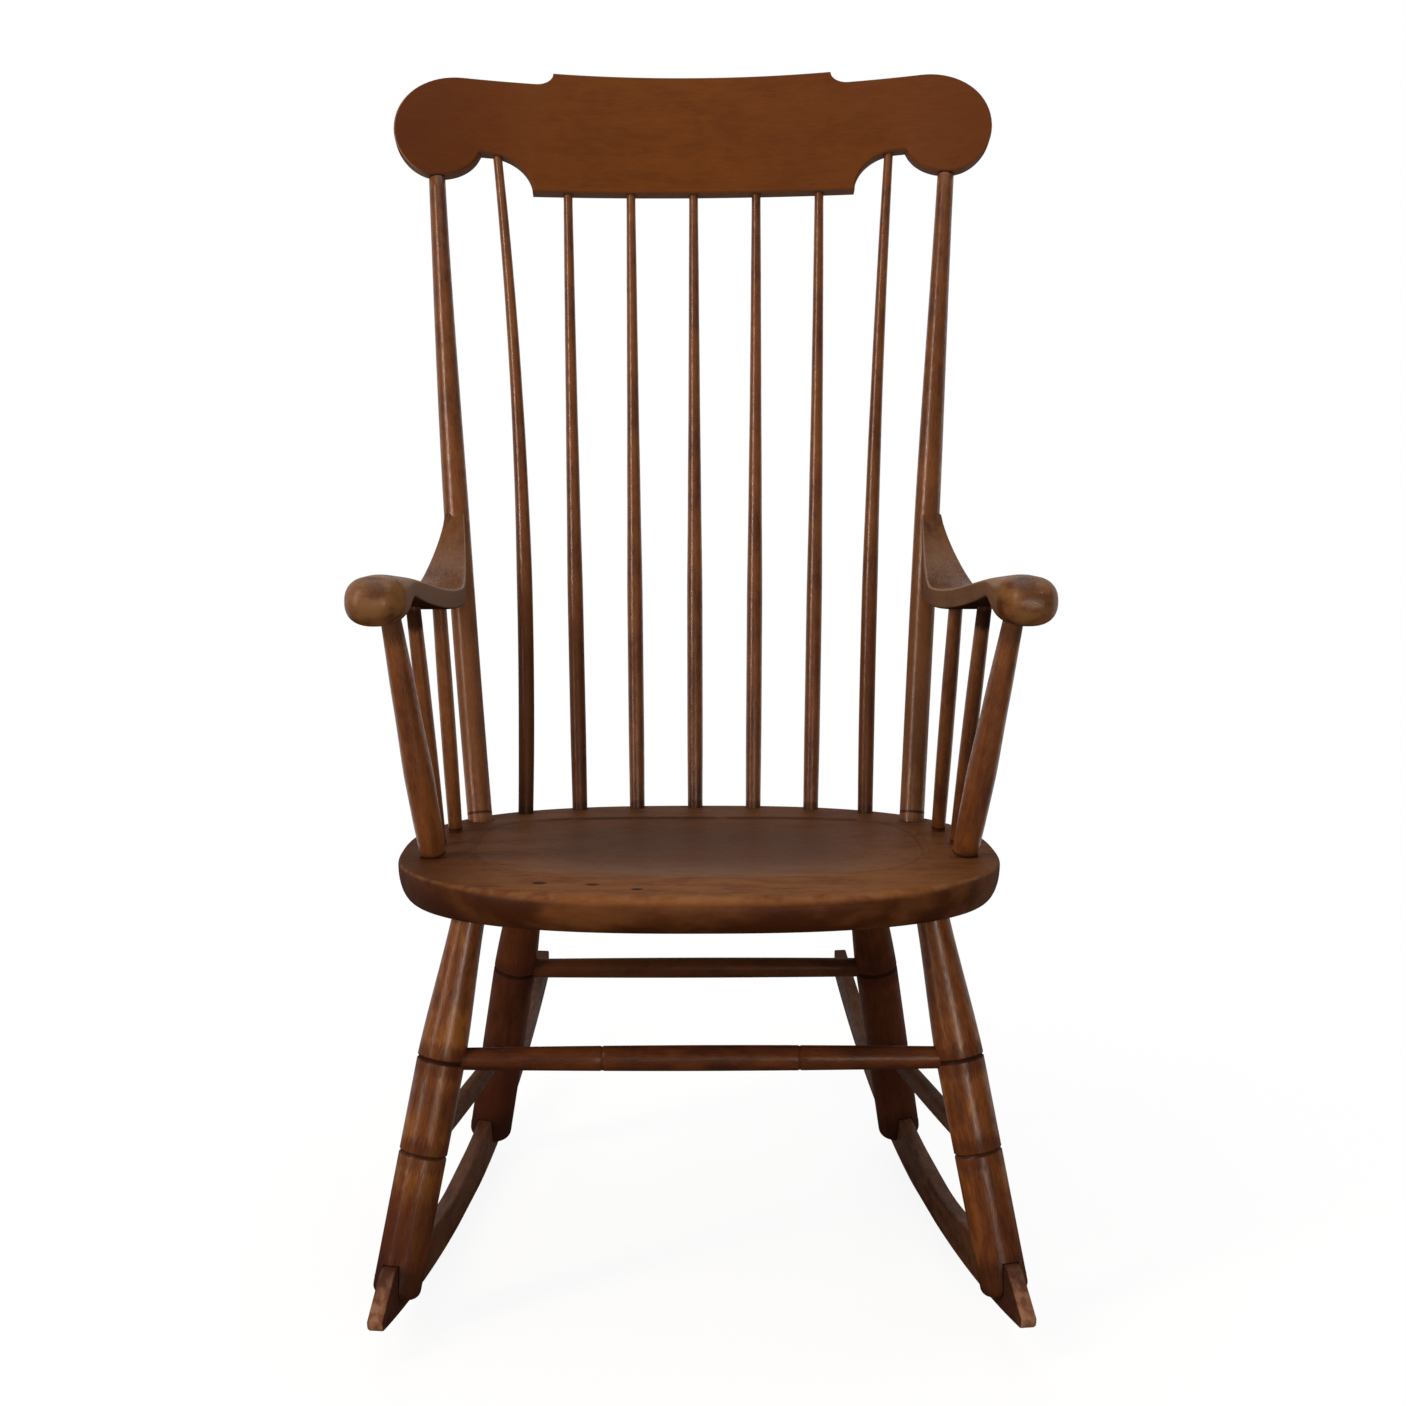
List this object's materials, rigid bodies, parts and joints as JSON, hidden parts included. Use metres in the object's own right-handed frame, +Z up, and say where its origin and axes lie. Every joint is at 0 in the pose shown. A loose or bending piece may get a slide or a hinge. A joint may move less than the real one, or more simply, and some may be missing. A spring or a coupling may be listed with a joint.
{
  "type": "rocking chair",
  "caption": "Spindle back rocking chair: a dished plank seat on splayed turned legs and curved rockers, with rolled arms and a tall back of bent spindles under a scrolled crest rail.",
  "frame": {"origin": "Middle of the chair's plan, on the floor under the rockers.", "axes": "+X to the sitter's left, across the chair; +Y to the back, the chair faces -Y; +Z up."},
  "size_m": [0.611, 0.8006, 1.0801],
  "materials": {
    "maple": "satin",
    "dark_maple": "satin",
    "worn_maple": "satin",
    "steel": "brushed"
  },
  "bodies": {
    "root": {"seat": "worn_maple", "crest_rail": "maple", "back_post_left": "maple", "back_post_right": "maple", "back_spindle_1": "maple", "back_spindle_2": "maple", "back_spindle_3": "maple", "back_spindle_4": "maple", "back_spindle_5": "maple", "back_spindle_6": "maple", "back_spindle_7": "maple", "arm_left": "worn_maple", "arm_right": "worn_maple", "arm_post_left": "maple", "arm_post_right": "maple", "arm_spindle_left_front": "maple", "arm_spindle_left_rear": "maple", "arm_spindle_right_front": "maple", "arm_spindle_right_rear": "maple", "leg_front_left": "maple", "leg_front_right": "maple", "leg_rear_left": "maple", "leg_rear_right": "maple", "front_stretcher": "maple", "rear_stretcher": "maple", "side_stretcher_left": "dark_maple", "side_stretcher_right": "dark_maple", "rocker_left": "dark_maple", "rocker_right": "dark_maple", "rocker_pin_front_left": "dark_maple", "rocker_pin_front_right": "dark_maple", "rocker_pin_rear_left": "dark_maple", "rocker_pin_rear_right": "dark_maple", "arm_screw_left": "steel", "arm_screw_right": "steel", "arm_plug_left": "maple", "arm_plug_right": "maple", "crest_pin_left": "maple", "crest_pin_right": "maple"}
  },
  "joints": []
}
